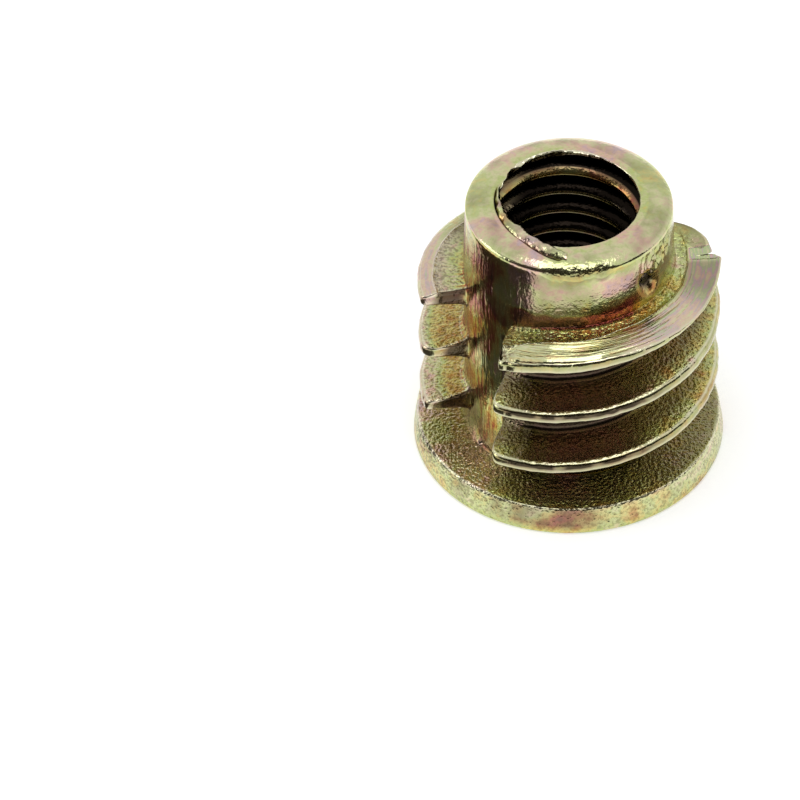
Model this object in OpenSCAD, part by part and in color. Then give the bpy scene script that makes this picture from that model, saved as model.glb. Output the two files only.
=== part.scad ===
// Hex drive insert nut for timber, cast in one piece: a thin flange, a barrel with a long blunt pilot,
// and coarse outer blades on a right-hand helix that one flute interrupts. It stands on its flange:
// the flange face is the plane z = 0, the axis is Z, and angles are measured from +X towards +Y.

/* [Flange] */
// Diameter of the flange at its outer face
flange_d = 15.8; // [15.4:0.1:18]
// Thickness of the flange
flange_t = 1.55; // [1:0.05:2.5]
// How much smaller the flange is in radius at its inner side
flange_draft = 0.22; // [0:0.02:0.4]
// Rounding of the outer face's rim
flange_round = 0.2; // [0.05:0.05:0.4]

/* [Barrel] */
// Whole height, from the flange face to the pilot's end
overall_h = 15.5; // [14:0.5:24]
// Diameter of the barrel under the blades and along the pilot
barrel_d = 10.5; // [10.2:0.1:11.2]
// Rounding of the pilot's outer edge
pilot_round = 0.75; // [0.2:0.05:0.9]
// Length of bare pilot above the shoulder that ends the blades
pilot_l = 3.85; // [2:0.05:6]

/* [Bore] */
// Core diameter of the threaded bore
bore_d = 6.65; // [5:0.05:7]
// Diameter of the bore's mouth
mouth_d = 7; // [7:0.05:7.6]
// Depth of the mouth's chamfer
mouth_h = 0.2; // [0.05:0.05:0.6]

/* [Hex socket] */
// Width of the socket across its flats
hex_af = 8.1; // [7.5:0.1:8.3]
// Depth of the socket
hex_h = 6.5; // [4:0.5:8]
// Depth of the cone between the socket and the bore
seat_h = 0.6; // [0.2:0.1:1.5]

/* [Blades] */
// Diameter over the blades
blade_d = 15.2; // [13:0.1:15.4]
// Rise of the helix in one turn
blade_pitch = 3.4; // [2.8:0.1:4]
// Thickness of a blade at its crest
crest_t = 0.52; // [0.3:0.02:0.8]
// How much lower a blade's underside is at its root than at its crest
root_flare = 0.3; // [0.1:0.02:0.4]
// Rounding of the crest's two edges
crest_round = 0.12; // [0.04:0.02:0.14]
// Height of the flat land along a blade's root, above the blade's lower edge
land_h = 0.74; // [0.5:0.02:1]
// Width of that land
land_w = 1.1; // [0.4:0.1:1.6]
// Height at which the lowest blade passes the angle of zero
blade_z = 4.79; // [4.2:0.01:5.6]

/* [Flute] */
// Angle at which the flute starts
flute_a = -165; // [-180:1:-120]
// Angle that the flute takes at the blades' crests
flute_span = 44; // [20:1:70]
// Angle by which the wall where a blade starts leans back from root to crest
start_slant = 6; // [1:0.5:10]
// The same for the wall where a blade stops at the flute
stop_slant = 1; // [1:0.5:10]
// Angle in which a blade's outer corner is rounded off
corner_a = 4; // [2:0.5:8]
// Angle in which the lowest blade grows out of the flange
lead_a = 30; // [10:1:60]

/* [Hidden] */
$fn = 96;
// How far a cut runs past the face that it opens
over = 0.01;
barrel_r = barrel_d / 2;
blade_r = blade_d / 2;
flange_r = flange_d / 2;
bore_r = bore_d / 2;
mouth_r = mouth_d / 2;
hex_r = hex_af / sqrt(3);
// Radius of the circle inside the socket, where the cone begins
seat_r = hex_af / 2;
shoulder_z = overall_h - pilot_l;
// How far a blade's root is buried in the barrel
sink = 0.5;
// Least distance between two neighbouring points of a blade's section
gap = 0.05;
// Thinnest that a blade is drawn where the shoulder cuts it off
least_t = 0.06;
// Radius at which a blade's first and last sections lie inside the barrel
buried_r = barrel_r - sink / 4;
// Depth that the rounded corner takes off a blade at an end
corner_depth = 0.14 * (blade_r - barrel_r);
// Share of the blade's depth at which the top blade's run-out stops
last_share = 0.12;
// Angle between two neighbouring sections of a blade
step_a = 6;
flute_end_a = flute_a + flute_span;
// Angle at which the lowest blade's underside leaves the flange
birth_a = (flange_t - blade_z) / blade_pitch * 360;
// Angle at which the shoulder has cut the top blade down to its last share of depth
top_a = (shoulder_z - least_t - blade_z + root_flare * (1 - last_share)) / blade_pitch * 360;

// Height of a blade's lower edge at a running angle
function low_z(a) = blade_z + blade_pitch * a / 360;

// Radius as a share of the blade's depth: 0 at the barrel and 1 at the crest
function depth_share(r) = (r - barrel_r) / (blade_r - barrel_r);

// Outer radius that the shoulder leaves the blade, whose underside rises outwards
function shoulder_reach(a) =
    barrel_r + (blade_r - barrel_r)
        * min(1, (shoulder_z - least_t - low_z(a) + root_flare) / root_flare);

// Outer radius at a distance in degrees from a cut end: a leaning wall with a rounded corner
function end_reach(d, slant) =
    d < slant
        ? buried_r + (blade_r - corner_depth - buried_r) * d / slant
        : blade_r - corner_depth * pow(max(0, 1 - (d - slant) / corner_a), 2);

// Outer radius in the lead at the flange
function lead_reach(d) = buried_r + (blade_r - buried_r) * min(1, d / lead_a);

// Outer radius of the blade at an angle, for a run between two angles that starts in a lead or a cut
function reach(a, from, to, lead) =
    min(
        lead ? lead_reach(a - from) : end_reach(a - from, start_slant),
        end_reach(to - a, stop_slant),
        shoulder_reach(a)
    );

// Section of the blade at an angle, as [radius, height] from the buried root round the crest and back
function section(a, r_out) =
    let (
        r = max(r_out, buried_r),
        bottom = low_z(a) - root_flare * (1 - depth_share(r)),
        top = min(shoulder_z, low_z(a) + crest_t),
        land_z = min(shoulder_z, low_z(a) + land_h),
        land_r = min(barrel_r + land_w, r - crest_round - gap),
        edge = min(crest_round, (top - bottom) / 4)
    )
    [
        [barrel_r - sink, low_z(a) - root_flare * (1 - depth_share(barrel_r - sink))],
        [r - crest_round, bottom],
        [r, bottom + edge],
        [r, top - edge],
        [r - crest_round, top],
        [land_r, land_z],
        [barrel_r - sink, land_z]
    ];

// Point of a section turned round the axis
function turned(p, a) = [p[0] * cos(a), p[0] * sin(a), p[1]];

module flange() {
    rotate_extrude()
        polygon([
            [0, 0],
            [flange_r - flange_round, 0],
            for (a = [-60:30:0])
                [flange_r - flange_round + flange_round * cos(a), flange_round + flange_round * sin(a)],
            [flange_r - flange_draft, flange_t],
            [0, flange_t]
        ]);
}

module barrel() {
    rotate_extrude()
        difference() {
            square([barrel_r, overall_h]);
            translate([barrel_r - pilot_round, overall_h - pilot_round])
                difference() {
                    square(pilot_round + 1);
                    circle(pilot_round);
                }
        }
}

// Everything that is cut out along the axis: the bore, its mouth, the cone and the socket
module drive_and_bore() {
    translate([0, 0, hex_h])
        cylinder(h = overall_h, r = bore_r);
    translate([0, 0, overall_h - mouth_h])
        cylinder(h = mouth_h + over, r1 = bore_r, r2 = mouth_r);
    translate([0, 0, hex_h])
        cylinder(h = seat_h, r1 = seat_r, r2 = bore_r);
    translate([0, 0, -over])
        cylinder(h = hex_h + over, r = hex_r, $fn = 6);
}

// One run of blade along the helix, between two running angles
module blade(from, to, lead) {
    body_from = from + start_slant + corner_a;
    body_to = to - stop_slant - corner_a;
    count = ceil((body_to - body_from) / step_a);
    angles = concat(
        [from, from + start_slant, from + start_slant + corner_a / 3],
        [for (i = [0:count]) body_from + (body_to - body_from) * i / count],
        [to - stop_slant - corner_a / 3, to - stop_slant, to]
    );
    rings = [for (a = angles) [for (p = section(a, reach(a, from, to, lead))) turned(p, a)]];
    sides = len(rings[0]);
    last = (len(rings) - 1) * sides;
    polyhedron(
        points = [for (ring = rings) for (p = ring) p],
        faces = concat(
            [[for (i = [sides - 1:-1:0]) i]],
            [[for (i = [0:sides - 1]) last + i]],
            [
                for (k = [0:len(rings) - 2]) for (i = [0:sides - 1])
                    let (j = (i + 1) % sides, m = k * sides)
                    for (face = [[m + i, m + j, m + sides + i], [m + j, m + sides + j, m + sides + i]])
                        face
            ]
        )
    );
}

// Every run of blade from the flange up to the shoulder, with the flute between one and the next
module blades() {
    first = floor((birth_a - flute_end_a) / 360) + 1;
    last = floor((top_a - flute_end_a) / 360) + 1;
    for (turn = [first:last])
        let (
            from = max(birth_a, flute_end_a - start_slant + 360 * (turn - 1)),
            to = min(top_a, flute_a + stop_slant + 360 * turn)
        )
        if (to - from > start_slant + stop_slant + 2 * corner_a + step_a)
            blade(from, to, from == birth_a);
}

// The whole casting
module insert_body() {
    color([0.80, 0.76, 0.52])
        difference() {
            union() {
                flange();
                barrel();
                blades();
            }
            drive_and_bore();
        }
}

insert_body();
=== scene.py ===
import math

import bpy
import numpy as np
from mathutils import Matrix, Vector


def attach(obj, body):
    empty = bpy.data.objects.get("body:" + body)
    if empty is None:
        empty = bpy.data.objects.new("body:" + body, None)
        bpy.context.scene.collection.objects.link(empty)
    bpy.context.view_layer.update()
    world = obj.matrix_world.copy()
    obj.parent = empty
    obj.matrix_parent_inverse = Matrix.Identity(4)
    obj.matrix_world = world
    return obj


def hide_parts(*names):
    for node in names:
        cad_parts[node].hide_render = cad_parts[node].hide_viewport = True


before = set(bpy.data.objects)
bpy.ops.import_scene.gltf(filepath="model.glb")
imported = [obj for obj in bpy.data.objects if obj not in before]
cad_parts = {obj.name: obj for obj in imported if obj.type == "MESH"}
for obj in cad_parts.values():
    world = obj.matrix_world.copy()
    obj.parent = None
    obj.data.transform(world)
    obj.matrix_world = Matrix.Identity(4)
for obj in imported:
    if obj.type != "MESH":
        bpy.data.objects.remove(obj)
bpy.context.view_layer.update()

# --- The casting ----------------------------------------------------------------------------------
# The whole insert is one die casting in zinc alloy: flange, barrel, blades, flute and hex socket.
# Its skin is one closed grid: a profile in radius and height, all round the wall of the insert,
# that is worked out afresh at every angle. All sizes are in mm and degrees.
MM = 0.001
COLUMNS = 552
# The flange's thickness
FLANGE_T = 1.55
# The barrel up to its shoulder, then the slimmer pilot, and how far its torn rim stands over its end
CORE_R = 5.25
SHOULDER_Z = 11.62
PILOT_R = 5.14
END_Z = 15.33
BURR_Z = 15.49
# Radius over the blades, height at angle 0, rise a turn, thickness at the crest, drop of the flank
BLADE_R = 7.58
BLADE_Z = 4.79
PITCH = 3.4
CREST_T = 0.52
FLARE = 0.3
# The blades from the lowest, which leaves the flange behind, to the top one, which the shoulder ends
LOWEST, MIDDLE, UPPER, TOP = -1, 0, 1, 2
# Angles of a blade's root and tip where it starts, the angle of its end face where it stops, and the
# radius in mm of the corner there
STARTS = {MIDDLE: (-128.5, -121.5), UPPER: (-126.6, -120.6), TOP: (-124.2, -117.6)}
STOPS = {LOWEST: 198.2, MIDDLE: 197.2, UPPER: 195.0}
STOP_CORNERS = {LOWEST: 0.35, MIDDLE: 0.8, UPPER: 0.3}
# The rows of a blade: its flank comes first, then the crest, the slope and the land begin at these
CREST_ROW = 4
SLOPE_ROW = 11
LAND_ROW = 17
BLADE_ROWS = 22
# The flute, in which no blade shows, and the seam in it at which the grid meets itself
FLUTE_FROM = 200.0
FLUTE_TO = 231.0
SEAM = -143.5
# The mouth, the root of the bore's thread, and the hexagon socket
MOUTH_R = 3.5
GROOVE_R = 4.02
SOCKET_AF = 8.1
SOCKET_DEPTH = 6.5


def smooth(x):
    """A step from 0 to 1 with level ends: 3 x squared less 2 x cubed, with x held between 0 and 1."""
    x = np.clip(x, 0, 1)
    return x * x * (3 - 2 * x)


def stretch(x, start, rise, end, fall):
    """1 along a stretch of x: a smooth step up from the start over one width, times one less a smooth
    step from the end over another width."""
    return smooth((x - start) / rise) * (1 - smooth((x - end) / fall))


def bump(x, centre, width):
    """A bell: e to the minus square of the distance from the centre over the width."""
    return np.exp(-(((x - centre) / width) ** 2))


def blend(x, target, share):
    """x moved towards a target: x plus the share times the difference."""
    return x + share * (target - x)


def soft_least(x, w):
    """The lesser of x and 1, with its corner rounded over a width w: 1 - w ln(1 + e^((1 - x) / w))."""
    return 1 - w * np.logaddexp(0, (1 - x) / w)


def relief(p, cell, seed):
    """Smooth random relief from -1 to 1 at points in mm: values of a seeded lattice of that cell size,
    blended between the eight nearest lattice points."""
    values = np.random.default_rng(seed).uniform(-1, 1, (32, 32, 32))
    q = p / cell + 100
    low = np.floor(q).astype(int)
    t = smooth(q - low)
    total = 0
    for corner in range(8):
        step = np.array([corner & 1, corner >> 1 & 1, corner >> 2 & 1])
        share = np.prod(np.where(step == 1, t, 1 - t), axis=-1)
        i = (low + step) % 32
        total = total + share * values[i[..., 0], i[..., 1], i[..., 2]]
    return total


def points_at(a, r, z):
    """Points in mm: r times the angle's cosine, r times its sine, and z."""
    turn = np.radians(a)
    return np.stack(np.broadcast_arrays(r * np.cos(turn), r * np.sin(turn), z + 0 * turn), -1)


def on_circle(a, r):
    """Points in mm on a circle of radius r about the axis."""
    return points_at(a, r, 0)


def column_angles(count):
    """Angles of the grid's columns over one turn, one below another: even steps along the running sum
    of a density that is 1 behind, about 2 on the flute's side, and up to 8 more at the two walls that
    cut the blades. A column stands at each corner of the hexagon."""
    a = np.linspace(SEAM, SEAM + 360, 7201)
    density = 1 + 0.9 * bump(a, -65, 75) + 8 * bump(a, -122, 5) + 7 * bump(a, 196.5, 3)
    density = density + 4 * bump(a, 2, 1.5) + 1.5 * bump(a, -35, 14)
    total = np.concatenate([[0], np.cumsum((density[1:] + density[:-1]) / 2)])
    angles = np.interp(np.arange(count) / count * total[-1], total, a)
    for corner in range(-120, 181, 60):
        angles[np.abs(angles - corner).argmin()] = corner
    return angles[:, None]


def in_turn(a):
    """The angle counted from the side of the flute where the blades start, on over the seam."""
    return np.where(a < FLUTE_TO - 360, a + 360, a)


def past_flute(a):
    """The angle counted so that it runs on from the back, past the flute, to -85 degrees."""
    return np.where(a < -85, a + 360, a)


def in_flute(a):
    """1 in the flute, where no blade shades the wall, and 0 elsewhere."""
    return stretch(in_turn(a), 192, 8, 232, 10)


def by_flute(a, far, near):
    """1 on the flute's side of the wall, from the far angle round the seam to the near one, within 8
    degrees of which it steps to 0."""
    return np.clip(smooth((near - a) / 8) + smooth((a - far) / 8), 0, 1)


def painted_gap_shade(a):
    """Share of painted shade in the gaps between the blades: 1 where they face the front, fading out
    towards the right.
    """
    return stretch(a, -119, 7, -66, 24)


def lower_edge(a, k):
    """Height of the lower edge of blade k's crest: a straight line in the angle, 3.4 mm a turn. Across
    the flute, where no blade shows, it slides back down, so that the grid meets itself. The top blade
    ends early, and its rows stay level behind the pilot."""
    turn = in_turn(a)
    last = 60 if k == TOP else FLUTE_FROM
    rising = BLADE_Z + PITCH * np.minimum(turn, last) / 360
    start = BLADE_Z + PITCH * (FLUTE_TO - 360) / 360
    slide = smooth((turn - FLUTE_FROM) / (FLUTE_TO - FLUTE_FROM))
    return rising + slide * (start - (BLADE_Z + PITCH * last / 360)) + PITCH * k


def start_share(a, root, tip, corner):
    """Share of the blade's depth where it starts: it grows evenly from 0 at the root's angle to 1 at the
    tip's angle, and the corner at the tip is rounded."""
    return np.clip(soft_least((a - root) / (tip - root), corner), 0, 1)


def stop_share(a, face, corner):
    """Share of the blade's depth where it stops: a quarter circle with the corner's radius in mm takes
    the crest round to the end face, and behind that the share falls to 0 within a degree and a half."""
    arc = math.degrees(corner / BLADE_R)
    t = np.clip((a - face) / arc + 1, 0, 0.995)
    rounded = 1 - corner / (BLADE_R - CORE_R) * (1 - np.sqrt(1 - t * t))
    return rounded * (1 - np.clip((a - face) / 1.5, 0, 1))


def blade_reach(a, k):
    """Outer radius of blade k at each angle, in mm: the barrel's plus the blade's depth times its shares,
    less seeded nicks in the crest. The barrel's alone where there is no blade."""
    ragged = relief(on_circle(a, 7) + k, 0.3, 5)
    if k == LOWEST:
        share = smooth((a - 17) / 34)
    elif k == TOP:
        share = start_share(a + 0.3 * ragged, *STARTS[k], 0.07)
    else:
        share = start_share(a, *STARTS[k], 0.16)
    if k in STOPS:
        share = share * stop_share(a + 0.4 * ragged * (k == UPPER), STOPS[k], STOP_CORNERS[k])
    reach = CORE_R + (BLADE_R - CORE_R) * share
    if k == TOP:
        # The run-out: the shoulder leaves ever less of the top blade, after a torn notch
        running = 7.12 - 1.9 * (np.clip(a - 3, 0, None) / 29) ** 2.2
        reach = np.minimum(reach, np.where(a > 2, np.maximum(running, CORE_R), reach))
        reach = reach - 0.3 * bump(a, 1.6, 0.9)
        reach = np.where(a > 60, CORE_R, reach)
    crest = on_circle(a, 7.5) + 3 * k
    nicks = relief(crest, 0.5, 11) + 0.6 * relief(crest, 0.2, 12)
    return reach - 0.022 * (1 + nicks) * smooth((reach - CORE_R) / 2)


def plain_face(top, r_in, r_out, fillet, full):
    """Eleven points of a plain upper face, each a radius and a height: it rises evenly by 0.26 mm from
    the crest's inner edge to the barrel, where a fillet goes up the wall."""
    foot = top + 0.26
    face = [(blend(r_in, r_out, u), blend(foot, top, u)) for u in (0.94, 0.72, 0.5, 0.32, 0.15, 0)]
    return face + [
        (r_in - 0.02 * full, foot + 0.004),
        (r_in - 0.06 * full, foot + 0.012),
        (CORE_R + 0.55 * fillet, foot + 0.12 * fillet),
        (CORE_R + 0.29 * fillet, foot + 0.36 * fillet),
        (CORE_R + 0 * fillet, foot + fillet),
    ]


def land_face(a, k, low, top, reach, r_out, full):
    """Eleven points of an upper face with a land beside the barrel, each a radius and a height: a slope
    climbs from the crest by the drop's share of its height to the land's bright edge, and the land is
    sunk behind it. The top blade's slope is rounded at its start and turns hollow further round."""
    if k == TOP:
        line = 5.88 + 0.3 * smooth((-62 - a) / 24) + 0.35 * bump(a, -117, 7)
        height = np.minimum(11.50 + 0.05 * smooth((a + 85) / 25), low + 0.82)
        steps = [0.93, 0.80, 0.58, 0.36, 0.16, 0]
        drops = [1.30, 0.80, 0.68, 0.54, 0.30, 0]
        drops = [blend(drop, u * u, smooth((a + 85) / 25)) for u, drop in zip(steps, drops)]
        hollow = smooth((a + 52) / 30)
    else:
        line = 6.0 + 0.75 * smooth((a - 60) / 100)
        height = low + 0.70
        steps = [0.94, 0.72, 0.5, 0.32, 0.15, 0]
        drops = [0.86 * u + 0.14 * u**5 for u in steps]
        hollow = 0 * a
    line = line + 0.03 * relief(on_circle(a, 6), 0.5, 31)
    line = np.minimum(line, np.maximum(reach - 0.14, CORE_R + 0.1 * full))
    slope = []
    for u, drop in zip(steps, drops):
        valley = height - 0.08 + (top + 0.08 - height) * u * u
        r = blend(line, r_out, u) + 0.05 * full * (1 - u)
        slope.append((r, blend(blend(height, top, drop), valley, hollow)))
    sunk = full * (0.05 + 0.02 * hollow) * (0.15 if k == UPPER else 1)
    return slope + [
        (line, height + 0.05 * (k == UPPER) * full),
        (line - 0.07 * full, height - sunk),
        (blend(CORE_R, line - 0.07 * full, 0.6), height - 1.3 * sunk),
        (CORE_R + 0.07 * full, height - 0.9 * sunk),
        (CORE_R + 0 * full, height + 0.05 * full),
    ]


def land_share(a, k):
    """1 where blade k has a land beside the barrel, and 0 where its upper face is plain."""
    if k == TOP:
        return stretch(a, -143, 8, 26, 8)
    return stretch(a, 60, 70, 200, 4) * (k == UPPER)


def blade_profile(a, k):
    """Twenty-two points of blade k's profile at each angle, from the barrel under it round the crest and
    back to the barrel: a flank that drops towards its root, a narrow crest with rounded edges, and an
    upper face that is either plain or a land beside the barrel with a slope outside it. Where there is
    no blade, the points spread evenly up the bare wall."""
    reach = blade_reach(a, k)
    depth = reach - CORE_R
    full = np.clip(depth / (BLADE_R - CORE_R), 0, 1)
    low = lower_edge(a, k) + 0.02 * relief(on_circle(a, 7.5) + 5 * k, 0.8, 21) * full
    if k == TOP:
        # This blade sags where it starts, and the shoulder and a worn ridge line hold its top down
        low = low - 0.08 * smooth((-60 - a) / 30)
        low = low - 0.28 * (np.clip(-96 - a, 0, 28) / 21) ** 1.5 * smooth((a + 140) / 12)
        shoulder = SHOULDER_Z + 0.06 * np.maximum(in_turn(a) - 32, 0)
        ridge_line = np.maximum(11.37 + 0.16 * smooth((a + 34) / 34), low + 0.1)
        top = np.minimum(np.minimum(low + CREST_T, shoulder - 0.03), ridge_line)
    else:
        top = low + CREST_T
    tall = top - low
    fillet = 0.3 * np.clip(depth / 0.8, 0, 1)
    edge = np.minimum(0.14 * np.clip(depth / 0.3, 0, 1), np.maximum(tall, 0.02) * 0.3)
    root = low - FLARE
    r_in = CORE_R + fillet
    r_out = np.maximum(reach - 1.15 * edge, CORE_R)
    worn = 0.07 * relief(on_circle(a, 7.5) + 9 * k, 0.35, 22) * smooth((reach - 7.42) / 0.08)
    lower = [
        (CORE_R + 0 * fillet, root - fillet),
        (CORE_R + 0.29 * fillet, root - 0.29 * fillet),
        (r_in, root),
        ((r_in + r_out) / 2, (root + low) / 2 - 0.03 * full),
        (reach - 0.5 * edge, low),
        (reach - 0.15 * edge, low + 0.15 * edge),
        (reach, low + 0.5 * edge),
        (reach, low + 0.52 * tall + worn),
        (reach - 0.25 * edge, low + 0.77 * tall + 0.6 * worn),
        (reach - 0.60 * edge, low + 0.92 * tall),
        (reach - 1.08 * edge, top - 0.005 * full),
    ]
    plain = plain_face(top, r_in, r_out, fillet, full)
    landed = land_face(a, k, low, top, reach, r_out, full)
    share = land_share(a, k)
    upper = [(blend(p[0], q[0], share), blend(p[1], q[1], share)) for p, q in zip(plain, landed)]
    r = np.hstack([p[0] for p in lower + upper])
    z = np.hstack([p[1] for p in lower + upper])
    if k == TOP:
        # Its first few degrees are broken off roughly along the top
        broken = smooth((-110.5 - a) / 6) * (1 - smooth((r - 7.1) / 0.3))
        broken = broken * (0.14 + 0.1 * relief(points_at(a, r, 0), 0.3, 29))
        z[:, SLOPE_ROW : LAND_ROW + 1] -= broken[:, SLOPE_ROW : LAND_ROW + 1]
        z = np.minimum(z, shoulder - 0.05 + 0.0015 * np.arange(BLADE_ROWS))
    bare = root + np.linspace(0, 1, BLADE_ROWS) * (CREST_T + FLARE + 0.2)
    return r, blend(bare, z, smooth(depth / 0.3))


def pilot_wall(z):
    """Radius of the bare wall at a height: the barrel's up to the shoulder, then a slight draft."""
    return CORE_R - (CORE_R - PILOT_R) * np.clip((z - SHOULDER_Z) / 3.0, 0, 1)


def dome(r):
    """Height of the pilot's end at a radius: level inside 4.1 mm, then falling with the power 2.15."""
    return END_Z - 0.33 * np.clip((r - 4.1) / 1.014, 0, 2) ** 2.15


def tear_line(a):
    """Radius at which the mouth's torn rim left the end face: it winds outwards along the front."""
    turn = past_flute(a)
    outwards = 0.12 * smooth((turn - 200) / 40) + 0.72 * smooth((turn - 228) / 42)
    return 3.66 + outwards * (1 - smooth((turn - 263) / 11))


def torn(a):
    """1 along the torn part of the mouth's rim, from 168 degrees round behind the flute to -92."""
    return stretch(past_flute(a), 160, 12, 264, 6)


def fringe(a):
    """1 along the part of the mouth's rim that the tap raised without tearing it off."""
    return stretch(a, 52, 30, 166, 14)


def socket_wall(a):
    """Radius of the hexagon socket: half its width over the cosine of the angle from its flat's middle."""
    return SOCKET_AF / 2 / np.cos(np.radians((a % 60) - 30))


def rows(a, r, z, sand, recess=0.0, rub=0.0):
    """A block of the profile: radius, height, sand, painted shade and stain, and wear and painted
    highlight, each over every angle and every row of the block. Each may be given as one number, one a row,
    one an angle, or the whole."""
    blank = np.zeros_like(a)
    return np.stack(np.broadcast_arrays(*[np.asarray(v) + blank for v in (r, z, sand, recess, rub)]))


def flange_rows(a):
    """Rows of the flange's face from the socket out to the rim, of the rim with its draft and its sharp
    upper edge, and of the upper face in to the barrel. Painted shade darkens the upper face under the
    blades in front and towards the barrel, and its outer band at the right; the rim is browned in front as
    a painted reflection of the shadow at its foot; the rim, its upper edge and the upper face's left are
    painted pale as highlight."""
    socket = socket_wall(a)
    wave = 0.02 * relief(on_circle(a, 7.7), 0.9, 41)
    rim_z = np.array([0.55, 0.9, 1.2, 1.42])
    on_rim = points_at(a, 7.8, rim_z)
    # Painted reflection of the shadow at the flange's foot: a brown stretch on the rim in front
    brown = stretch(a, -130, 14, -84, 14) * np.clip(0.5 + 0.5 * relief(on_circle(a, 7.8), 0.8, 42), 0, 1)
    stains = 0.5 * np.clip(relief(on_rim, 1.1, 43) + 0.4 * relief(on_rim, 0.4, 44), 0, 1)
    # Painted shade at the right, under the blades in front and towards the barrel; painted highlight on the
    # left
    right_shade = stretch(a, -70, 25, 25, 20)
    shade_under_blades = smooth((a + 135) / 12) * (1 - 0.1 * smooth((a + 62) / 25) - 0.7 * smooth((a - 30) / 40))
    shade_under_blades = shade_under_blades * (0.45 + 0.3 * smooth((a + 62) / 20) * (a < 30))
    shade_inwards = 1 - 0.9 * smooth((a - 150) / 20) - 0.9 * (a < -130) * (1 - smooth((a + 143) / 13))
    lit_left = smooth((a - 150) / 20) + (a < -125) * (1 - smooth((a + 138) / 12))
    return [
        rows(a, socket + [0, 0.06, 0.14], [0.14, 0.03, 0.0], 0.3),
        rows(a, blend(socket, 7.7, np.array([0.15, 0.4, 0.7, 1.0])), 0.0, 0.3),
        rows(a, [7.84, 7.893], [0.06, 0.2], 0.5),
        rows(
            a,
            wave + [7.85, 7.79, 7.74, 7.70],
            rim_z,
            0.8,
            np.clip(0.75 * brown + stains, 0, 1),
            [0.25, 0.25, 0.25, 0.4],
        ),
        # The rim's sharp upper edge, painted pale as highlight
        rows(a, 7.665 + wave, 1.515, 0.6, 0, 1.0),
        rows(a, [7.62, 7.52], FLANGE_T, 0.8, right_shade * [0.2, 0.6], [0.6, 0]),
        rows(
            a,
            [7.1, 6.6, 6.1, 5.7, 5.4],
            FLANGE_T,
            1 - 0.25 * lit_left,
            np.maximum(shade_under_blades, shade_inwards * [0.0, 0.08, 0.2, 0.38, 0.6]),
            0.4 * lit_left,
        ),
    ]


def blade_sand(a, k, share):
    """How sandy blade k's rows are: its flank is by 0.6, its crest by 0.12, and its upper face wholly,
    apart from bright slopes and the gaps in front. The share is 1 on the blade and 0 on bare wall."""
    row = np.arange(BLADE_ROWS)
    slope = (row >= SLOPE_ROW) & (row < LAND_ROW)
    sand = np.where(row < CREST_ROW, 0.6, np.where(row < SLOPE_ROW, 0.12, 1.0))
    if k == TOP:
        sand = np.where(slope, 0.1, sand)
    else:
        sand = sand - 0.85 * (k == UPPER) * smooth((a - 90) / 40) * slope
        sand = sand * (1 - 0.62 * painted_gap_shade(a) * (row >= SLOPE_ROW))
        sand = sand * (1 - 0.8 * painted_gap_shade(a) * (row >= LAND_ROW))
    sand = blend(0.1, sand, share)
    return np.maximum(sand, broken_tip(a, k) * share)


def broken_tip(a, k):
    """1 on the crest's edge and the upper face of the top blade's broken start."""
    return smooth((-110.5 - a) / 6) * (np.arange(BLADE_ROWS) >= SLOPE_ROW - 1) * (k == TOP)


def end_face(k):
    """Angle of the face in which blade k stops, far off for the top blade, which has none."""
    return STOPS.get(k, 999)


def blade_recess(a, k, r, share):
    """How far blade k's rows at radii r are painted dark as shade: the darker, the nearer they lie to the
    barrel, and darkest where a gap faces the front, on an end face, and along two lines on the crest."""
    row = np.arange(BLADE_ROWS)
    upper = row >= SLOPE_ROW
    shade = painted_gap_shade(a)
    recess = np.clip((BLADE_R - 0.22 - r) / 0.9, 0, 1) * np.where(row < CREST_ROW, 0.45, 1)
    if k == TOP:
        recess = recess * (a < 34) * ~upper
    else:
        recess = recess * (1 + 0.26 * shade * (row >= LAND_ROW + 2))
        recess = np.maximum(recess, shade * upper)
    lit = 1 - 0.85 * smooth((a - 140) / 25) * upper
    # The end face in which the blade stops is painted dark as shade
    face = stretch(a, end_face(k) + 0.1, 0.3, end_face(k) + 1.3, 0.3)
    recess = np.maximum(0.76 * recess * lit * (1 - in_flute(a)), 0.94 * face)
    if k == LOWEST:
        recess = np.maximum(recess, 0.6 * (1 - share))
    # Along the crest's lower edge and above its middle, painted shade darkens it brown to black, in
    # patches, and most in front
    crest_patchiness = 0.75 + 0.35 * relief(on_circle(a, 7.5) + 7 * k, 0.5, 27)
    crest_painted_shade = [0.95, 0.9, 0.15, 0.5, 0.5, 0.3] if k == TOP else [0.95, 0.9, 0.15, 0.97, 0.97, 0.5]
    crest_painted_shade = crest_painted_shade * np.clip(crest_patchiness + [0.4, 0.4, 0.4, 0.27, 0.27, 0.27], 0, 1)
    crest_painted_shade = crest_painted_shade * (0.45 + 0.55 * shade) * share
    crest = slice(CREST_ROW, CREST_ROW + 6)
    recess[:, crest] = np.maximum(recess[:, crest], crest_painted_shade)
    if k == TOP:
        rough = np.clip(0.3 + 0.5 * relief(points_at(a, r, 0), 0.3, 28), 0, 1)
        recess = np.maximum(recess, broken_tip(a, k) * share * rough)
        # Painted shade on the top blade's slope at the far right
        far_right_shade = stretch(a, -36, 22, -3, 3) * (upper & (row < LAND_ROW))
        recess = np.maximum(recess, 0.5 * far_right_shade)
    return recess


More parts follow.
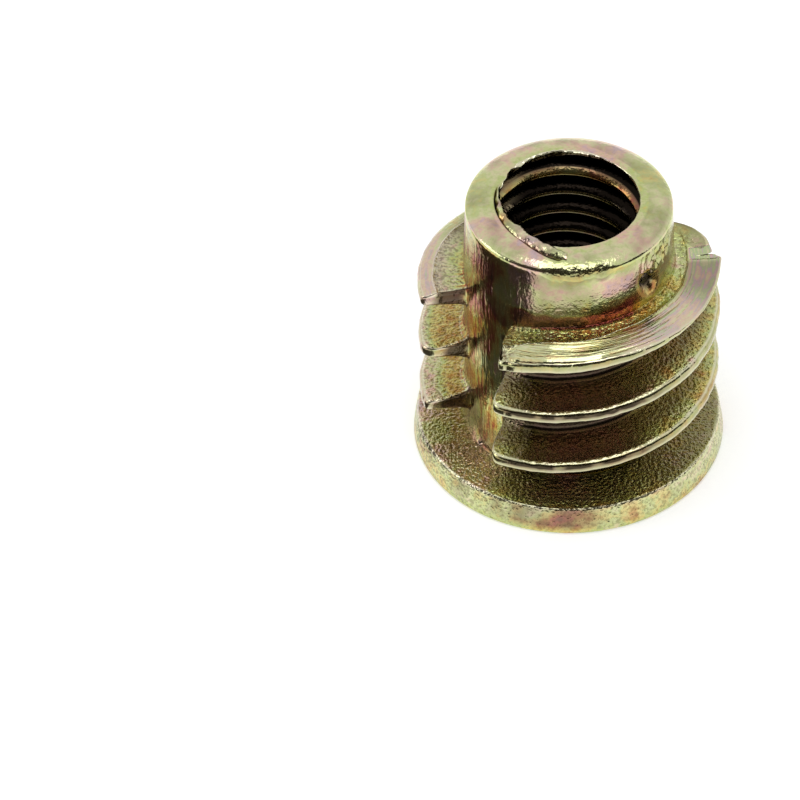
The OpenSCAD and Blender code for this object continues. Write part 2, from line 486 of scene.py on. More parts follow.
def blade_rub(a, k, share):
    """How far blade k's rows are painted pale, as wear and painted highlight: along the crest's lower edge
    and its inner edge, the land's edge and the rim of the end face; and as painted highlight over the
    slopes."""
    row = np.arange(BLADE_ROWS)
    rub = np.zeros(BLADE_ROWS)
    rub[5:8] = [0.5, 0.8, 0.3]
    rub[9:11] = [0.4, 1.0]
    if k == UPPER:
        rub[LAND_ROW - 1 : LAND_ROW + 2] = [0.7, 0.9, 0.7]
    if k == TOP:
        rub[LAND_ROW] = 0.9
    end_edge_highlight = bump(a, end_face(k) - 0.3, 0.45) * (row >= 9)
    land_edge_highlight = 0.6 * (row == LAND_ROW + 1) * smooth((a - 150) / 10)
    if k == TOP:
        painted_highlight = (0.45 - 0.13 * smooth((a + 75) / 15)) * (1 - smooth((a + 30) / 15))
    else:
        painted_highlight = 0.3 * smooth((a - 90) / 40) * (k == UPPER)
    painted_highlight = painted_highlight * ((row >= SLOPE_ROW) & (row < LAND_ROW))
    return np.clip(rub + end_edge_highlight + land_edge_highlight + painted_highlight, 0, 1) * share


def blade_rows(a):
    """Rows of the barrel with its four blades, and of the bare wall between one and the next, with the
    height at which they end."""
    blocks = []
    foot = np.full_like(a, FLANGE_T)
    for k in (LOWEST, MIDDLE, UPPER, TOP):
        r, z = blade_profile(a, k)
        share = smooth((r[:, 7:8] - CORE_R) / 0.6)
        if k == LOWEST:
            z = np.maximum(z, FLANGE_T + 0.004 * (1 + np.arange(BLADE_ROWS)))
        else:
            wall_z = blend(foot, z[:, :1], np.array([0.33, 0.67]))
            # The bare wall between the blades is painted dark as shade, less so behind, and in the flute
            # only low down
            dark = 0.88 + 0.09 * painted_gap_shade(a) - 0.4 * smooth((a - 20) / 30)
            dark = blend(dark, 0.4 * (wall_z < 5), in_flute(a))
            blocks.append(rows(a, CORE_R, wall_z, 0.1, dark))
        r = r + pilot_wall(z) - CORE_R
        skin = blade_sand(a, k, share), blade_recess(a, k, r, share), blade_rub(a, k, share)
        blocks.append(rows(a, r, z, *skin))
        foot = z[:, -1:]
    return blocks, foot


def pilot_rows(a, foot):
    """Rows of the pilot's side, and of its outer edge, an arc that is wide where the edge is chipped in
    front and where it is worn. They come with the radius at which the edge meets the end."""
    ragged = 0.9 + 0.35 * relief(on_circle(a, 5), 0.5, 52) + 0.3 * relief(on_circle(a, 5), 0.2, 53)
    chipped = stretch(a, -107, 9, -72, 12) * ragged
    worn = 0.24 * stretch(past_flute(a), 185, 20, 262, 12) + 0.12 * stretch(a, -68, 18, -4, 26)
    round_r = 0.09 + worn + 0.66 * np.clip(chipped, 0, 1.2)
    last_turn = 55 + 11 * np.clip((round_r - 0.1) / 0.6, 0, 1)
    meet_r = PILOT_R - round_r * (1 - np.cos(np.radians(last_turn)))
    centre_z = dome(meet_r) - round_r * np.sin(np.radians(last_turn))
    # The side: dull patches, a brown and red foot that is painted with shade at the left, and a painted
    # dark reflection in a streak under the chipped edge
    wall_z = blend(foot, centre_z - 0.06, np.linspace(0, 1, 27)[1:])
    on_wall = points_at(a, 5, wall_z)
    shaded_foot = 1 - smooth((wall_z - 12.05 - 0.3 * smooth((a + 75) / 20)) / 0.35)
    shaded_foot = shaded_foot * stretch(a, -124, 8, -52, 10)
    dull = 0.5 - 0.22 * smooth((a + 88) / 16)
    dull = dull + 0.2 * relief(on_wall, 0.9, 54) + 0.1 * relief(on_wall, 0.3, 55)
    dark_reflection_streak = smooth((wall_z - centre_z + 0.35) / 0.25) * np.clip(chipped, 0, 1)
    dull = np.clip(np.maximum(dull, 0.7 * dark_reflection_streak), 0, 1) * (1 - 0.8 * shaded_foot * smooth((a + 84) / 12))
    dull = dull + shaded_foot * (0.45 - 0.42 * smooth((a + 90) / 14))
    # The edge, with painted shade on its chipped and worn rounding and a painted highlight along it
    turn = np.radians(np.linspace(0, 1, 5) * last_turn)
    return [
        rows(a, pilot_wall(wall_z), wall_z, 0.15, np.clip(dull, 0, 0.84)),
        rows(
            a,
            PILOT_R - round_r * (1 - np.cos(turn)),
            centre_z + round_r * np.sin(turn),
            0.15 + np.clip(chipped, 0, 1) * [0, 0.2, 0.4, 0.4, 0.2],
            np.clip(chipped + 1.5 * worn, 0, 1) * [0.3, 0.5, 0.45, 0.2, 0],
            (0.6 + 0.4 * relief(on_circle(a, 5), 0.6, 51)) * [0, 0, 0.16, 0.48, 0.4],
        ),
    ], meet_r


def mouth_rows(a, meet_r):
    """Rows of the pilot's domed end, of the groove that the torn rim left in it, and of the mouth's rim,
    which is raised and crumpled along its fringe. The dome has an arc of painted dark reflection near its
    edge at the front right, the groove and the lip's inner edge are painted with shade, and the fringe with
    a pale painted highlight."""
    raised = fringe(a)
    brim_out = 0.25 * raised * (1 - smooth((a - 132) / 20))
    tear = tear_line(a) + brim_out
    across = blend(meet_r, tear + 0.3, np.linspace(0, 1, 8)[1:])
    on_dome = points_at(a, across, 0)
    blotches = np.clip(0.1 + 0.3 * relief(on_dome, 0.9, 56) + 0.15 * relief(on_dome, 0.3, 57), 0, 1)
    # A painted dark reflection in an arc near the dome's edge at the front right
    arc = 0.5 * bump(a, -24, 22) * bump(across, 5.0, 0.22)
    groove_r = tear + [0.2, 0.11, 0.05, 0.01, -0.05, -0.11]
    groove_z = dome(groove_r) - 0.16 * torn(a) * [0, 0, 0.1, 0.8, 1.0, 0.8]
    on_fringe = on_circle(a, 3.6)
    lift = raised * (0.8 + 0.15 * relief(on_fringe, 0.3, 61) + 0.2 * relief(on_fringe, 0.8, 62))
    lift = np.clip(lift, 0, 1) * (BURR_Z - END_Z)
    mouth = MOUTH_R + 0.10 * raised * relief(on_circle(a, 3.5), 0.5, 63)
    mouth = mouth + 0.02 * relief(on_circle(a, 3.5), 0.35, 64)
    inner = blend(mouth, tear - 0.11, np.array([0.75, 0.5, 0.28, 0.12]))
    inner_z = END_Z + lift * [0.4, 0.8, 1.0, 0.95] + 0.05 * raised * relief(points_at(a, inner, 0), 0.2, 65)
    # A pale painted highlight along the fringe and along the rim at the right
    painted_highlight = np.clip(raised + 0.75 * smooth((a + 60) / 30) * (a < 80), 0, 1)
    inner_z = inner_z - 0.04 * (painted_highlight - raised) * [0, 0, 0.4, 1.0] - 0.05 * torn(a)
    lip_z = END_Z + 0.8 * lift - [0.03, 0.12]
    return [
        rows(a, across, dome(across), 0.15, np.maximum(blotches, arc), 0.15),
        rows(a, groove_r, groove_z, 0.2, torn(a) * [0, 0, 0.5, 1, 1, 1]),
        rows(a, inner, np.minimum(inner_z, BURR_Z), 0.2, 0, painted_highlight * [0.5, 0.9, 1.0, 1.0]),
        rows(a, mouth, np.minimum(lip_z, BURR_Z), 0.3, [0.0, 0.8], [0.6, 0]),
    ]


def bore_rows(a):
    """Rows of the mouth's chamfer, the root of the thread, the cone under it and the hexagon socket, all
    painted dark as shade, the socket less so towards its open end.
    """
    return [
        rows(a, [3.58, 3.75], [15.12, 15.02], 0.3, 1.0),
        rows(a, GROOVE_R, [14.9, 12.5, 10.0, 7.6], 0.4, 1.0),
        rows(a, [3.5, 3.42, 3.5, 3.9], [7.25, 7.1, 6.95, 6.56], 0.3, 1.0),
        rows(a, socket_wall(a) - 0.04, SOCKET_DEPTH + 0.03, 0.3, 1.0),
        rows(a, socket_wall(a), [6.45, 4.4, 2.2], 0.3, [0.8, 0.5, 0.3]),
    ]


def casting_profile(a):
    """Radius, height, sand, painted shade and stain, and wear and painted highlight of every profile point
    at every
    angle: flange, barrel with its blades, pilot, mouth, and back down the bore and the socket."""
    blades, foot = blade_rows(a)
    pilot, meet_r = pilot_rows(a, foot)
    return np.concatenate(flange_rows(a) + blades + pilot + mouth_rows(a, meet_r) + bore_rows(a), 2)


def scarred(a, r, z):
    """Radius with the casting's faults, and how dark they are: a pit in the pilot's side with dragged
    metal beside it, the rough end faces of the top blade and of the blade across the flute, streaks
    down the flute's wall, and a slight waviness. The pit is painted dark as shade in its hollow; the
    dragged metal is streaked dark."""
    p = points_at(a, r, z)
    pit = bump(a + 3 * (z - 12.9), -40.5, 5.0) * bump(z, 12.95, 0.55)
    streaks = relief(p * [1, 1, 0.35], 0.16, 71) + 0.5 * relief(p, 0.12, 72)
    dragged = stretch(a, -50, 9, -22, 8)
    dragged = dragged * smooth((z - 12.3 - 0.04 * (a + 50)) / 0.5) * (1 - smooth((z - 14.6) / 0.3))
    outside = (r > 4.9) & (z > 11.7)
    dark = outside * np.clip(2.4 * pit - 0.2 + 1.3 * dragged * (streaks - 0.05), 0, 0.98)
    carved = 0.36 * np.clip(1.7 * pit, 0, 1) + 0.12 * dragged * np.clip(streaks + 0.2, -0.5, 1.2)
    r = r - outside * carved
    ends = bump(a, -121, 3.2) * smooth((z - 10.1) / 0.3) * (z < 11.6)
    ends = ends + bump(a, 195.5, 1.6) * (z > 9.9) * (z < 11.2)
    r = r + np.where(r > CORE_R + 0.3, 0.07 * ends * relief(p, 0.17, 73), 0)
    wall = (r > 4.9) & (r < 5.4) & (z > 2.2) & (z < 14.4)
    r = r + wall * by_flute(a, 172, -112) * 0.012 * relief(p * [1, 1, 0.08], 0.3, 76)
    wavy = 0.010 * relief(p, 1.6, 74) + 0.006 * relief(p, 0.6, 75)
    return r + np.where((r > 4.3) & (z > 0.25) & (z < 15.1), wavy, 0), dark


def grid_mesh(name, points, looped):
    """A mesh of four-sided faces over a grid of points, columns by rows, whose rows close on themselves.
    Its columns do too if it is looped; otherwise it ends in two flat caps."""
    n, m = points.shape[:2]
    i, j = np.meshgrid(np.arange(n if looped else n - 1), np.arange(m), indexing="ij")
    here = i * m + j
    up = i * m + (j + 1) % m
    next_up = (i + 1) % n * m + (j + 1) % m
    beside = (i + 1) % n * m + j
    faces = np.stack([here, beside, next_up, up], -1).reshape(-1, 4).tolist()
    if not looped:
        faces.append(list(range(m)))
        faces.append(list(range(n * m - 1, n * m - m - 1, -1)))
    mesh = bpy.data.meshes.new(name)
    mesh.from_pydata((points.reshape(-1, 3) * MM).tolist(), [], faces)
    mesh.polygons.foreach_set("use_smooth", np.ones(len(mesh.polygons), bool))
    mesh.set_sharp_from_angle(angle=math.radians(38))
    mesh.update()
    return mesh


def add_layers(mesh, **layers):
    """Stores numbers for each point of a mesh under their names, for its material to read."""
    for name, values in layers.items():
        layer = mesh.attributes.new(name, "FLOAT", "POINT")
        layer.data.foreach_set("value", np.asarray(values, np.float32).ravel())


def film_thinness(p):
    """How thin the chromate film is at points in mm, from 0 at its thickest to 1: slow drifts, stretched
    round the insert, on which the patches of its parts are laid one after another."""
    angle = np.degrees(np.arctan2(p[..., 1], p[..., 0]))
    turn = in_turn(angle)
    r = np.hypot(p[..., 0], p[..., 1])
    z = p[..., 2]
    drift = 0.26 - 0.14 * (r > 5.35) * (z < 15) - 0.1 * (z > 15)
    film = 0.46 + 0.10 * smooth((z - 11.1) / 0.9) + drift * relief(p * [1, 1, 1.6], 2.0, 81)
    film = film + 0.10 * relief(p, 0.8, 82)
    # The pilot's side is cream with a green patch, and its foot is brown and red
    wall = (r < 5.27) & (r > 5.0) & (z > 2) & (z < 14.9)
    film = film + wall * smooth((z - 11.4) / 1.2) * (0.09 * relief(p, 0.7, 90) - 0.05)
    film = blend(film, 0.44, wall * bump(angle, -102, 7) * bump(z, 12.9, 0.5))
    foot = 1 - smooth((z - 12.1 - 0.35 * smooth((angle + 75) / 20) - 0.15 * relief(p, 0.6, 83)) / 0.3)
    film = blend(film, 0.11, foot * stretch(angle, -128, 10, -56, 8) * (wall & (z > 11.3)))
    # The gaps between the blades are tinted drab in front, in their painted shade, and patchy from gold to
    # green at the right
    right_side = (r > 5.4) & (z < 10.8) & (z > 1.4)
    film = film + right_side * bump(angle, -35, 40) * (0.14 * relief(p, 0.6, 92) - 0.05)
    gap_shade_tint = painted_gap_shade(angle) * (z > 1.5) * (z < 10.6) * (1 - smooth((r - 7.3) / 0.12))
    film = blend(film, 0.66, gap_shade_tint * np.where(z < 2.2, 0.4, 0.8) * smooth((angle + 113) / 7))
    # The wall beside the flute is streaked with brown, and orange at mid height
    streaks = relief(p * [1, 1, 0.12], 0.5, 84)
    brown = 0.13 + 0.1 * smooth((z - 9.5) / 1.5) + 0.14 * streaks
    film = film - wall * by_flute(angle, 168, -131) * brown
    film = blend(film, 0.2 + 0.05 * streaks, wall * bump(turn, 199, 9) * bump(z, 9.4, 1.3))
    # The flange's rim is patchy, with a brown stretch in front as a painted reflection of the shadow at its
    # foot, and its top is thinly coated at the left
    film = film + (r > 7.6) * (z < 1.54) * (0.16 * relief(p * [1, 1, 2], 0.8, 89) - 0.04)
    front_rim_shade = stretch(angle, -124, 14, -88, 14) * (r > 7.6) * (z < 1.5) * (z > 0.2)
    film = film - front_rim_shade * (0.08 + 0.14 * relief(p, 0.5, 86) + 0.08 * relief(p, 1.2, 87))
    left_flange = (z < 1.6) & (r > 5.4) & (r < 7.7)
    film = film + 0.15 * left_flange * (smooth((turn - 165) / 12) + smooth((-112 - turn) / 17))
    # The blades' upper faces across the flute are golden inside and pink outside
    across_flute = smooth((turn - 145) / 20) * (r > 5.4) * (z > 2) * (z < 11.5)
    upper = 0.57 + 0.12 * smooth((r - 6.5) / 0.3)
    lower = 0.29 + 0.33 * smooth((r - np.where(z > 6, 6.7, 6.2)) / 0.6)
    film = blend(film, np.where(z > 9.2, upper, lower), 0.92 * across_flute)
    end = np.where(z > 9.4, 195.2, np.where(z > 6, 197.4, 198.4))
    end_film = np.where(z > 9.4, 0.2, np.where(z > 6, 0.4, 0.3))
    film = blend(film, end_film, across_flute * smooth((turn - end) / 0.5))
    # The top blade's outer slope runs from gold through cream and pink to lilac and green
    slope = (r > 6.05) & (r < 7.5) & (z > 10.7) & (z < 11.7) & (angle < 8) & (angle > -118)
    along = np.interp(angle, [-115, -85, -66, -50, -30, -22, 5], [0.43, 0.43, 0.56, 0.67, 0.67, 0.82, 0.86])
    along = along + 0.13 * bump(angle, -42, 12) * (1 - smooth((r - 6.5) / 0.3))
    along = along - 0.17 * bump(angle, -10, 5) * bump(r, 6.7, 0.4)
    film = np.where(slope, along + 0.05 * relief(p, 0.7, 85), film)
    return np.clip(film, 0, 1)


def die_marks(p):
    """Where the die drew fine lines, and how strongly: noise coordinates whose first number runs across
    the lines in cells of 0.2 mm and whose second runs along them in cells of 1.5 to 3 mm."""
    angle = np.degrees(np.arctan2(p[..., 1], p[..., 0]))
    turn = np.radians(np.where(angle < 0, angle + 360, angle))
    r = np.hypot(p[..., 0], p[..., 1])
    z = p[..., 2]
    top_blade = (r > 5.4) & (z > 10.0) & (z < 11.8) & (angle < 8) & (angle > -125)
    slope = top_blade & (r > 5.95) & (r < 7.5) & (angle > -116)
    left_blade = (in_turn(angle) > 140) & (in_turn(angle) < 196) & (r > 6.55) & (z > 9.2) & (z < 12)
    wall = by_flute(angle, 172, -112) * (r < 5.5) * (r > 5.0) * (z > 1.7) * (z < 14.5)
    across = np.where(top_blade | left_blade, (r - 0.5 * z) / 0.2, turn * CORE_R / 0.2)
    along = np.where(top_blade | left_blade, turn * 7 / 3, z / 1.5)
    return np.stack([across, along, 0 * r], -1), np.clip(slope + 0.7 * left_blade + wall, 0, 1)


angles = column_angles(COLUMNS)
radius, height, sand, recess, rub = casting_profile(angles)
radius, scars = scarred(angles, radius, height)
casting_points = points_at(angles, radius, height)
mark_place, mark_share = die_marks(casting_points)
casting_mesh = grid_mesh("casting", casting_points, True)
add_layers(casting_mesh, sand=sand, recess=np.maximum(recess, scars), rub=rub)
add_layers(casting_mesh, film=film_thinness(casting_points), marked=mark_share)
mark_layer = casting_mesh.attributes.new("mark_place", "FLOAT_VECTOR", "POINT")
mark_layer.data.foreach_set("vector", mark_place.astype(np.float32).ravel())


def add_object(name, data):
    """Adds an object at the origin that shows a mesh, a lamp or a camera."""
    thing = bpy.data.objects.new(name, data)
    bpy.context.scene.collection.objects.link(thing)
    return thing


casting = add_object("casting", casting_mesh)


def linear(code):
    """An sRGB hex colour as linear red, green, blue and 1."""
    srgb = [int(code[i : i + 2], 16) / 255 for i in (1, 3, 5)]
    low = [c / 12.92 if c <= 0.04045 else ((c + 0.055) / 1.055) ** 2.4 for c in srgb]
    return (*low, 1.0)


def emptied(material):
    """A material or a world with an empty node tree."""
    material.use_nodes = True
    material.node_tree.nodes.clear()
    return material


def add_node(material, kind, settings=(), links=()):
    """Adds a node to a material, sets its properties and sockets, and links other nodes' sockets to it.
    A setting's name is a property's or an input socket's; a link is (input, node, its output)."""
    node = material.node_tree.nodes.new(kind)
    for name, value in dict(settings).items():
        if isinstance(name, str) and hasattr(node, name):
            setattr(node, name, value)
        else:
            node.inputs[name].default_value = value
    for socket, source, output in links:
        material.node_tree.links.new(source.outputs[output], node.inputs[socket])
    return node


# Yellow-chromated zinc plate on die-cast zinc: a thin glassy film over bright metal. It is brown where the
# film is thickest, then gold, green, cream, pink and lilac as it thins out. Edges are painted pale, partly
# as wear and partly as painted highlight; painted shade darkens gaps, corners and the bore towards brown
# and black; and the casting's sandy skin breaks up the gloss.
plate = emptied(bpy.data.materials.new("yellow_chromated_zinc_plate"))
place = add_node(plate, "ShaderNodeTexCoord")
layers = {
    name: add_node(plate, "ShaderNodeAttribute", {"attribute_name": name})
    for name in ("sand", "recess", "rub", "film", "marked", "mark_place")
}
# How thin the film is: the piece's own share, a mottle of 0.45 mm, and the die's lines
mottle = add_node(
    plate,
    "ShaderNodeTexNoise",
    {"Scale": 1 / (0.45 * MM), "Detail": 4.0, "Roughness": 0.65, "Distortion": 0.4},
    [("Vector", place, "Object")],
)
mottle_span = add_node(
    plate,
    "ShaderNodeMapRange",
    {"From Min": 0.3, "From Max": 0.7, "To Min": -0.10, "To Max": 0.10},
    [("Value", mottle, "Fac")],
)
mark_noise = add_node(
    plate,
    "ShaderNodeTexNoise",
    {"Scale": 1.0, "Detail": 2.0, "Roughness": 0.6},
    [("Vector", layers["mark_place"], "Vector")],
)
mark_span = add_node(
    plate,
    "ShaderNodeMapRange",
    {"From Min": 0.3, "From Max": 0.7, "To Min": -0.17, "To Max": 0.17},
    [("Value", mark_noise, "Fac")],
)
marks = add_node(
    plate,
    "ShaderNodeMath",
    {"operation": "MULTIPLY"},
    [(0, mark_span, "Result"), (1, layers["marked"], "Fac")],
)
mottled = add_node(
    plate, "ShaderNodeMath", {"operation": "ADD"}, [(0, layers["film"], "Fac"), (1, mottle_span, "Result")]
)
film_sum = add_node(plate, "ShaderNodeMath", {"operation": "ADD"}, [(0, mottled, 0), (1, marks, 0)])
# Its colours, and those of the painted shade
tint = add_node(plate, "ShaderNodeValToRGB", (), [("Fac", film_sum, 0)])
painted_shade_tint = add_node(plate, "ShaderNodeValToRGB", (), [("Fac", layers["recess"], "Fac")])
film_colours = (
    (0.00, "#63352A"),
    (0.12, "#BE5C50"),
    (0.24, "#C0924C"),
    (0.36, "#DDCF80"),
    (0.46, "#C3CF88"),
    (0.56, "#DAD6A4"),
    (0.66, "#E3BEA8"),
    (0.76, "#CFB2B8"),
    (0.86, "#B9CB94"),
    (0.96, "#D8D2A8"),
)
painted_shade_colours = ((0.85, "#705A4C"), (1.0, "#1A1511"))
for ramp, stops in ((tint.color_ramp, film_colours), (painted_shade_tint.color_ramp, painted_shade_colours)):
    for position, colour in stops[1:-1]:
        ramp.elements.new(position)
    for stop, (position, colour) in zip(ramp.elements, stops):
        stop.position = position
        stop.color = linear(colour)
# The skin's grains are a real 0.1 to 0.2 mm
grains = add_node(
    plate,
    "ShaderNodeTexNoise",
    {"Scale": 1 / (0.17 * MM), "Detail": 1.0, "Roughness": 0.5},
    [("Vector", place, "Object")],
)
rub_share = add_node(
    plate, "ShaderNodeMath", {"operation": "MULTIPLY", 1: 0.75}, [(0, layers["rub"], "Fac")]
)
pits = add_node(
    plate,
    "ShaderNodeMapRange",
    {"From Min": 0.52, "From Max": 0.36, "To Min": 0.0, "To Max": 0.5},
    [("Value", grains, "Fac")],
)
pit_share = add_node(
    plate, "ShaderNodeMath", {"operation": "MULTIPLY"}, [(0, pits, "Result"), (1, layers["sand"], "Fac")]
)
# Worn edges and painted highlights: pale cream mixed in by the wear-and-highlight layer
worn = add_node(
    plate,
    "ShaderNodeMix",
    {"data_type": "RGBA", 7: linear("#EFE9CF")},
    [(0, rub_share, 0), (6, tint, "Color")],
)
pitted = add_node(
    plate,
    "ShaderNodeMix",
    {"data_type": "RGBA", 7: linear("#5E4A2A")},
    [(0, pit_share, 0), (6, worn, 2)],
)
# Painted shade: the shade-and-stain layer darkens the colour towards brown and black
painted_shade_mix = add_node(
    plate,
    "ShaderNodeMix",
    {"data_type": "RGBA"},
    [(0, layers["recess"], "Fac"), (6, pitted, 2), (7, painted_shade_tint, "Color")],
)
# The relief of the grains and of the die's lines is up to 0.1 mm deep
sand_depth = add_node(
    plate, "ShaderNodeMath", {"operation": "MULTIPLY"}, [(0, grains, "Fac"), (1, layers["sand"], "Fac")]
)
skin_depth = add_node(
    plate, "ShaderNodeMath", {"operation": "MULTIPLY_ADD", 1: 0.6}, [(0, marks, 0), (2, sand_depth, 0)]
)
skin = add_node(
    plate, "ShaderNodeBump", {"Strength": 1.0, "Distance": 0.1 * MM}, [("Height", skin_depth, 0)]
)
gloss = add_node(
    plate, "ShaderNodeMapRange", {"To Min": 0.15, "To Max": 0.26}, [("Value", layers["sand"], "Fac")]
)
metal = add_node(
    plate,
    "ShaderNodeBsdfPrincipled",
    {"Metallic": 1.0},
    [("Base Color", painted_shade_mix, 2), ("Roughness", gloss, "Result"), ("Normal", skin, "Normal")],
)
add_node(plate, "ShaderNodeOutputMaterial", (), [("Surface", metal, "BSDF")])
casting_mesh.materials.append(plate)
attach(casting, "root")
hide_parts("insert_body")

# --- The torn rim ---------------------------------------------------------------------------------
# The tap pushed up a curl of metal as it broke out at the pilot's end. It lies on the end face along
# the mouth, torn off along its outer edge, and was plated with the rest.
CURL_FROM = 163
CURL_TO = 268.5
CURL_STEPS = 420


def curl_points(count):
    """The curl's section, twelve points round a flat bent strip, carried along the torn part of the
    mouth: at each angle its edges follow two lines through given radii, it arches up between them by
    4 s (1 - s), where s is the share of its width, and seeded relief crinkles it."""
    turn = np.linspace(CURL_FROM, CURL_TO, count)[:, None]
    at = [CURL_FROM, 184, 203, 218, 238, 255, CURL_TO]
    inner = np.interp(turn, at, [3.50, 3.30, 3.20, 3.06, 3.12, 3.40, 3.86])
    at = [CURL_FROM, 184, 200, 218, 238, 255, CURL_TO]
    outer = np.interp(turn, at, [3.70, 3.65, 3.69, 3.74, 3.88, 4.20, 4.54])
    along = on_circle(turn, 3.6)
    inner = inner + 0.05 * relief(along, 0.35, 101) + 0.03 * relief(along, 0.13, 102)
    outer = outer + 0.03 * relief(along, 0.3, 103)
    edge_z = END_Z - 0.10 + 0.05 * relief(along, 0.3, 104)
    crown_z = END_Z + 0.12 + 0.03 * relief(along, 0.4, 105)
    share = np.array([0.0, 0.12, 0.35, 0.6, 0.85, 1.0, 1.0, 0.85, 0.6, 0.35, 0.12, 0.0])
    thick = 0.05 * np.array([0.3, 1, 1, 1, 1, 0.4, -0.4, -1, -1, -1, -1, -0.3])
    taper = smooth((turn - 162) / 8) * (1 - 0.3 * smooth((turn - 264) / 4))
    arch = 4 * share * (1 - share)
    z = edge_z - 0.07 * share + arch * (crown_z - edge_z) + thick * taper
    p = points_at(turn, blend(inner, outer, share), z)
    p[..., 2] = np.minimum(p[..., 2] + 0.035 * relief(p, 0.3, 106), BURR_Z)
    return p[:, ::-1]


curl = curl_points(CURL_STEPS)
curl_mesh = grid_mesh("torn_rim", curl, False)
add_layers(
    curl_mesh,
    sand=np.full(curl.shape[:2], 0.25),
    recess=np.clip(0.2 + 0.5 * relief(curl, 0.3, 108), 0, 0.6),
    # Its edges are painted pale, partly as wear and partly as painted highlight
    rub=np.broadcast_to([0.2, 0.1, 0, 0, 0, 0, 0.1, 0.1, 0.3, 0.4, 0.3, 0.5], curl.shape[:2]),
    film=0.62 + 0.2 * relief(curl, 0.5, 107) - 0.25 * bump(np.arange(CURL_STEPS), 150, 60)[:, None],
)
torn_rim = add_object("torn_rim", curl_mesh)
curl_mesh.materials.append(plate)
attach(torn_rim, "root")
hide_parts("insert_body")

# --- The bore's thread ----------------------------------------------------------------------------
# An M8 thread is tapped into the barrel after casting, and plated with it. Its ridge is a closed
# strip that winds up the bore with its foot inside the barrel's wall.
THREAD_PITCH = 1.25
THREAD_FROM_Z = 7.75
THREAD_TO_Z = 14.62
# Height at which one of its crests passes behind the axis, a quarter of a turn round
CREST_Z = 11.64
RIDGE_FOOT_R = 4.12


def ridge_points(low, high, count):
    """The ridge's section, ten points, carried up a right-hand helix: at each angle the height is the
    pitch times the angle in turns, and the ridge sinks into the wall at both its ends."""
    turns = np.linspace(low, high, count)[:, None]
    fade = smooth((turns - low) / 0.4) * smooth((high - turns) / 0.25)
    section_r = np.array([4.12, 3.98, 3.62, 3.38, 3.335, 3.335, 3.38, 3.62, 3.98, 4.12])
    section_z = np.array([-0.54, -0.52, -0.28, -0.12, -0.05, 0.05, 0.12, 0.28, 0.52, 0.54])
    z = THREAD_FROM_Z + (turns - low) * THREAD_PITCH + section_z
    return points_at(360 * turns, blend(RIDGE_FOOT_R, section_r, fade), z)


first_turn = 0.25 - (CREST_Z - THREAD_FROM_Z) / THREAD_PITCH
ridge = ridge_points(first_turn, first_turn + (THREAD_TO_Z - THREAD_FROM_Z) / THREAD_PITCH, 700)
thread_mesh = grid_mesh("bore_thread", ridge, False)
ridge_z = ridge[..., 2]
# The ridge is painted dark as shade down the bore, a little less on the left near the mouth; its crest
# catches light as a painted highlight, and so does its lower edge near the mouth
crest_light = np.tile([0, 0, 0, 0, 0.6, 1, 0, 0, 0, 0], (len(ridge), 1))
crest_light[:, 6] = 0.6 * (ridge_z[:, 6] > 13.2)
down_bore = smooth((13.9 - ridge_z) / 0.8)
left_side = smooth((ridge_z - 13.2) / 0.4) * smooth((-2.2 - ridge[..., 0]) / 0.8)
add_layers(
    thread_mesh,
    sand=np.full(ridge.shape[:2], 0.15),
    recess=np.clip(1.0 - 0.1 * left_side - (1 - 0.45 * down_bore) * crest_light, 0, 1),
    rub=0 * ridge_z,
    film=0.27 + 0.3 * down_bore + 0.12 * relief(ridge, 1.2, 91),
)
bore_thread = add_object("bore_thread", thread_mesh)
thread_mesh.materials.append(plate)
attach(bore_thread, "root")
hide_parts("insert_body")

# --- The set --------------------------------------------------------------------------------------
# A pale table, a white surround, soft lamps above, and two dark cards, which give the metal its dark
# reflections: a large one behind the camera and a small one on the table at the left.
table_mesh = bpy.data.meshes.new("table_top")
table_mesh.from_pydata([(-2, -2, 0), (2, -2, 0), (2, 2, 0), (-2, 2, 0)], [], [(0, 1, 2, 3)])
table_top = add_object("table_top", table_mesh)


def add_seen_share(material):
    """Adds the nodes that give 1 for a ray from the camera, off metal or through glass, and 0 for light
    that falls on things: the greatest of the three kinds. Returns the last of them."""
    rays = add_node(material, "ShaderNodeLightPath")
    seen = add_node(
        material,
        "ShaderNodeMath",
        {"operation": "MAXIMUM"},
        [(0, rays, "Is Camera Ray"), (1, rays, "Is Glossy Ray")],
    )
    return add_node(
        material,
        "ShaderNodeMath",
        {"operation": "MAXIMUM"},
        [(0, seen, 0), (1, rays, "Is Transmission Ray")],
    )


# A matt white table, which is seen a little lighter than it lights the insert
pale = emptied(bpy.data.materials.new("matt_white_table"))
lift = add_node(
    pale, "ShaderNodeMath", {"operation": "MULTIPLY", 1: 0.36}, [(0, add_seen_share(pale), 0)]
)
matt = add_node(pale, "ShaderNodeBsdfDiffuse", {"Color": linear("#F2F2F2")})
glow = add_node(pale, "ShaderNodeEmission", (), [("Strength", lift, 0)])
both = add_node(pale, "ShaderNodeAddShader", (), [(0, matt, 0), (1, glow, 0)])
add_node(pale, "ShaderNodeOutputMaterial", (), [("Surface", both, 0)])
table_mesh.materials.append(pale)

surround = emptied(bpy.data.worlds.new("white_surround"))
bpy.context.scene.world = surround
level = add_node(
    surround,
    "ShaderNodeMapRange",
    {"To Min": 0.9, "To Max": 1.0},
    [("Value", add_seen_share(surround), 0)],
)
sky = add_node(surround, "ShaderNodeBackground", (), [("Strength", level, "Result")])
add_node(surround, "ShaderNodeOutputWorld", (), [("Surface", sky, 0)])


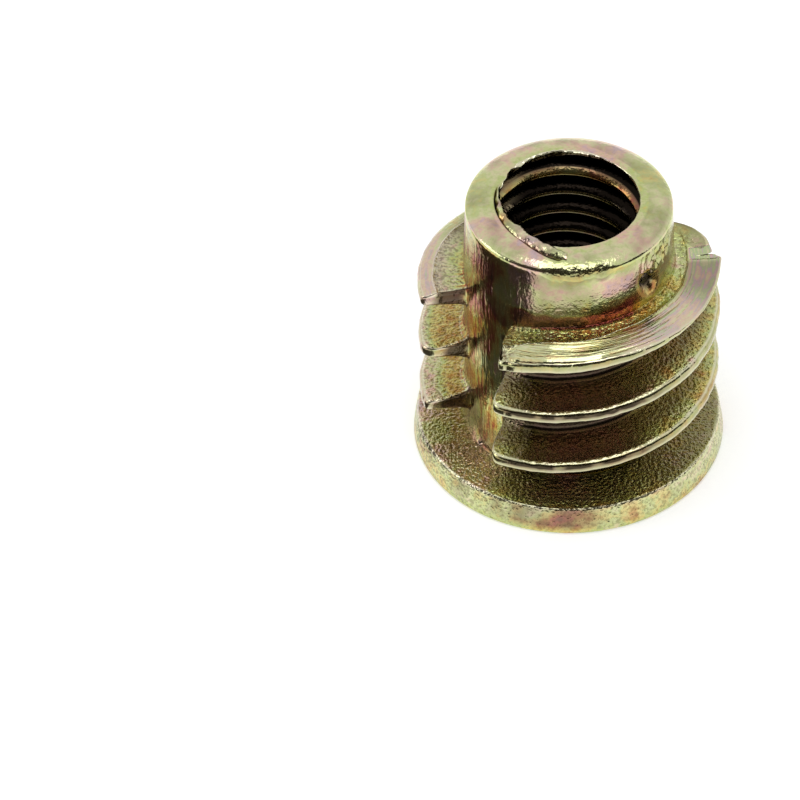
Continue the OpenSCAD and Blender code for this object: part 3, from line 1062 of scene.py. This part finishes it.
def add_lamp(name, stand, aim, size, watts):
    """A square soft box at a place in mm that faces a point; the camera doesn't see it."""
    data = bpy.data.lights.new(name, "AREA")
    data.size = size * MM
    data.energy = watts
    lamp = add_object(name, data)
    lamp.location = Vector(stand) * MM
    facing = (Vector(aim) - Vector(stand)).to_track_quat("-Z", "Y")
    lamp.rotation_euler = facing.to_euler()
    lamp.visible_camera = False


add_lamp("top_soft_box", (0, -60, 420), (0, 0, 8), 260, 0.38)
add_lamp("left_soft_box", (-380, -40, 160), (0, 0, 8), 200, 0.25)


def dome_patch(azimuths, shares, distance):
    """Points in mm of a patch of a sphere about the insert: it reaches up from 6 degrees above the table
    to 66 degrees in front and to 44 degrees at the sides, with the square of the azimuth's sine."""
    azimuth, share = np.meshgrid(azimuths, shares, indexing="ij")
    elevation = np.radians(6 + share * (38 + 22 * np.sin(np.radians(azimuth)) ** 2))
    return points_at(azimuth, distance * np.cos(elevation), distance * np.sin(elevation))


def add_card(name, points, shades):
    """A dark card over a grid of points. Only the metal sees it: not the camera, and not the table. It
    shades the insert from the surround, or lies flat and shades nothing."""
    n, m = points.shape[:2]
    i, j = np.meshgrid(np.arange(n - 1), np.arange(m - 1), indexing="ij")
    corner = i * m + j
    faces = np.stack([corner, corner + m, corner + m + 1, corner + 1], -1).reshape(-1, 4).tolist()
    mesh = bpy.data.meshes.new(name)
    mesh.from_pydata((points.reshape(-1, 3) * MM).tolist(), [], faces)
    mesh.materials.append(card_paper)
    card = add_object(name, mesh)
    card.visible_camera = False
    card.visible_diffuse = False
    card.visible_shadow = shades


# Matt grey-brown paper, which the metal mirrors as its darks
card_paper = emptied(bpy.data.materials.new("dark_card_paper"))
paper = add_node(card_paper, "ShaderNodeBsdfDiffuse", {"Color": linear("#48443E")})
add_node(card_paper, "ShaderNodeOutputMaterial", (), [("Surface", paper, 0)])
add_card("dark_card_behind_camera", dome_patch(np.linspace(-178, -2, 41), np.linspace(0, 1, 13), 900), True)
# The small card is part of a ring about the flute's foot, 0.3 mm above the table
ring_r, sweep = np.meshgrid([7.4, 12.0, 20.0, 38.0], np.linspace(150, 229, 17), indexing="ij")
add_card("dark_card_beside", points_at(sweep, ring_r, 0.3) + [-1.8, -4.9, 0], False)

# The camera stands 276.5 mm off and 42.3 degrees above the table. It looks at the insert's middle, and
# is then turned to the left and down about its own axes, so that the insert stands right of the
# picture's middle and above it.
CAMERA_OFF = 276.5
ELEVATION = math.radians(42.3)
middle = Vector((0, 0, 7.11)) * MM
back = Vector((0, -math.cos(ELEVATION), math.sin(ELEVATION)))
level_look = Matrix.Rotation(math.pi / 2 - ELEVATION, 3, "X")
turn_left = Matrix.Rotation(math.radians(1.756), 3, "Y")
turn_down = Matrix.Rotation(math.radians(-0.798), 3, "X")
tilt = Matrix.Rotation(math.radians(0.18), 3, "Z")
lens = bpy.data.cameras.new("camera")
lens.sensor_width = 36
lens.lens = 247.6
lens.clip_start = 0.01
lens.clip_end = 20
camera = add_object("camera", lens)
camera.location = middle + back * CAMERA_OFF * MM
camera.rotation_euler = (level_look @ tilt @ turn_left @ turn_down).to_euler()
bpy.context.scene.camera = camera

bpy.context.scene.view_settings.view_transform = "Standard"
